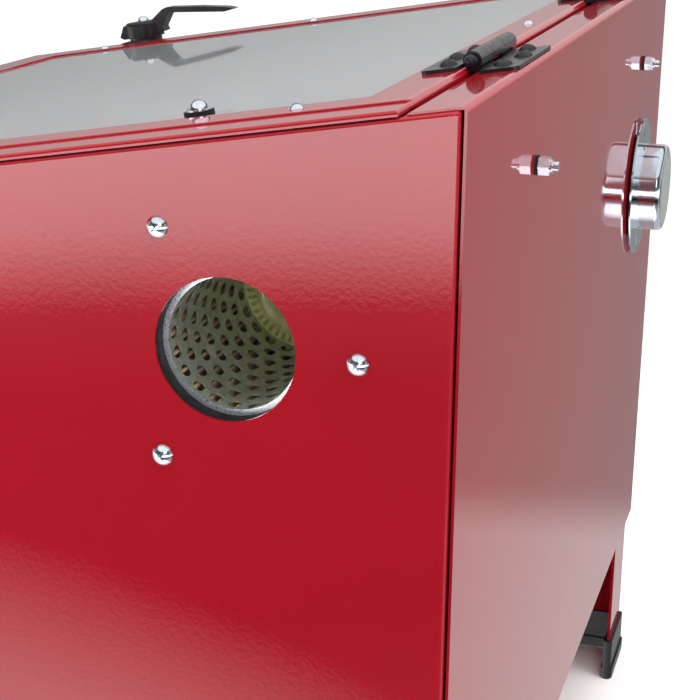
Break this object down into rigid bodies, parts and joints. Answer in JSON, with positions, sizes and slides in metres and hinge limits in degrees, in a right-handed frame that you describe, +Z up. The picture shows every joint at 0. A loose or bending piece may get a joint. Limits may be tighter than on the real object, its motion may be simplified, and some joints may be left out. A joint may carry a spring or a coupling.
{
  "type": "bench-top abrasive blast cabinet",
  "caption": "Bench-top abrasive blast cabinet: sloping glazed lid on hinges, side latches, arm ports, cartridge dust filter, hopper and clean-out gate.",
  "frame": {"origin": "on the bench, under the middle of the cabinet's outline", "axes": "+X to the user's right, +Y to the back, +Z up; the user stands on the -Y side"},
  "size_m": [0.654, 0.5114, 0.5251],
  "materials": {
    "red_paint": "gloss red powder coat",
    "galvanised": "galvanised sheet",
    "zinc_fastener": "bright zinc",
    "black_steel": "satin black",
    "black_plastic": "fine grain",
    "black_rubber": "matt",
    "grey_foam": "closed-cell foam",
    "clear_pane": "clear, film covered",
    "lens": "frosted",
    "filter_paper": "resin-treated pleated paper",
    "olive_resin": "cast resin",
    "white_paint": "satin white",
    "lamp": "opal tube",
    "gun_alloy": "cast, bead blasted",
    "ceramic": "fired ceramic",
    "brass": "turned",
    "red_plastic": "moulded"
  },
  "bodies": {
    "cabinet": {"air_inlet": "brass", "arm_rings": "black_plastic", "cable_gland": "black_plastic", "dust_port": "galvanised", "feet": "black_plastic", "filter_cage": "galvanised", "filter_core": "galvanised", "filter_end_cap": "olive_resin", "filter_end_plate": "galvanised", "filter_pleats": "filter_paper", "filter_screws": "zinc_fastener", "filter_tie_bolt": "zinc_fastener", "front_panel": "red_paint", "glove_clamps": "zinc_fastener", "gloves": "black_rubber", "grate_shelves": "galvanised", "gun_body": "gun_alloy", "gun_fittings": "brass", "gun_hanger": "galvanised", "gun_nozzle": "ceramic", "gun_nozzle_nut": "gun_alloy", "hinge_fixed_leaves": "black_steel", "hinge_pins": "black_steel", "hinge_screws_fixed": "black_steel", "hopper": "red_paint", "latch_bolts": "zinc_fastener", "latch_brackets": "red_paint", "legs": "red_paint", "lid_gasket": "grey_foam", "light_bolts": "zinc_fastener", "light_housing": "white_paint", "light_lamp": "lamp", "light_lens": "lens", "light_nuts": "zinc_fastener", "lock_nuts": "zinc_fastener", "panel_nuts": "galvanised", "port_cap": "galvanised", "rear_sheet": "red_paint", "rubber_gaskets": "black_rubber", "side_panel_left": "red_paint", "side_panel_right": "red_paint", "switch_housing": "black_plastic", "work_grate": "galvanised"},
    "lid": {"lid_frame": "red_paint", "window_pane": "clear_pane", "window_seal": "black_rubber", "window_retainer": "galvanised", "frame_screws": "zinc_fastener", "lid_nuts": "zinc_fastener", "stay_washer": "black_rubber", "stay_bolt": "zinc_fastener", "stay_eye": "galvanised", "hinge_lid_leaves": "black_steel", "hinge_screws_lid": "black_steel", "lid_keepers": "black_plastic"},
    "latch_right": {"latch_lever_right": "black_plastic"},
    "latch_left": {"latch_lever_left": "black_plastic"},
    "gate": {"cleanout_gate": "galvanised"},
    "trigger": {"gun_trigger": "black_plastic"},
    "rocker": {"switch_rocker": "red_plastic"}
  },
  "joints": [
    {"name": "lid_hinge", "type": "hinge", "parent": "cabinet", "child": "lid", "pos_m": [0, 0.2123, 0.52091], "axis": [-1, 0, 0], "range_deg": [0, 105]},
    {"name": "latch_right_turn", "type": "hinge", "parent": "cabinet", "child": "latch_right", "pos_m": [0.3136, -0.16347, 0.45201], "axis": [0, 0.1675, -0.9859], "range_deg": [0, 90]},
    {"name": "latch_left_turn", "type": "hinge", "parent": "cabinet", "child": "latch_left", "pos_m": [-0.3136, -0.16347, 0.45201], "axis": [0, -0.1675, 0.9859], "range_deg": [0, 90]},
    {"name": "gate_slide", "type": "slide", "parent": "cabinet", "child": "gate", "axis": [0, -1, 0], "range_m": [0, 0.11]},
    {"name": "trigger_pull", "type": "hinge", "parent": "cabinet", "child": "trigger", "pos_m": [-0.258, -0.0842, 0.37], "axis": [-1, 0, 0], "range_deg": [0, 7], "stiffness_Nm_per_rad": 1.5, "springref_deg": -2.86},
    {"name": "switch_rock", "type": "hinge", "parent": "cabinet", "child": "rocker", "pos_m": [-0.2965, -0.1232, 0.33], "axis": [0, -1, 0], "range_deg": [0, 20]}
  ]
}
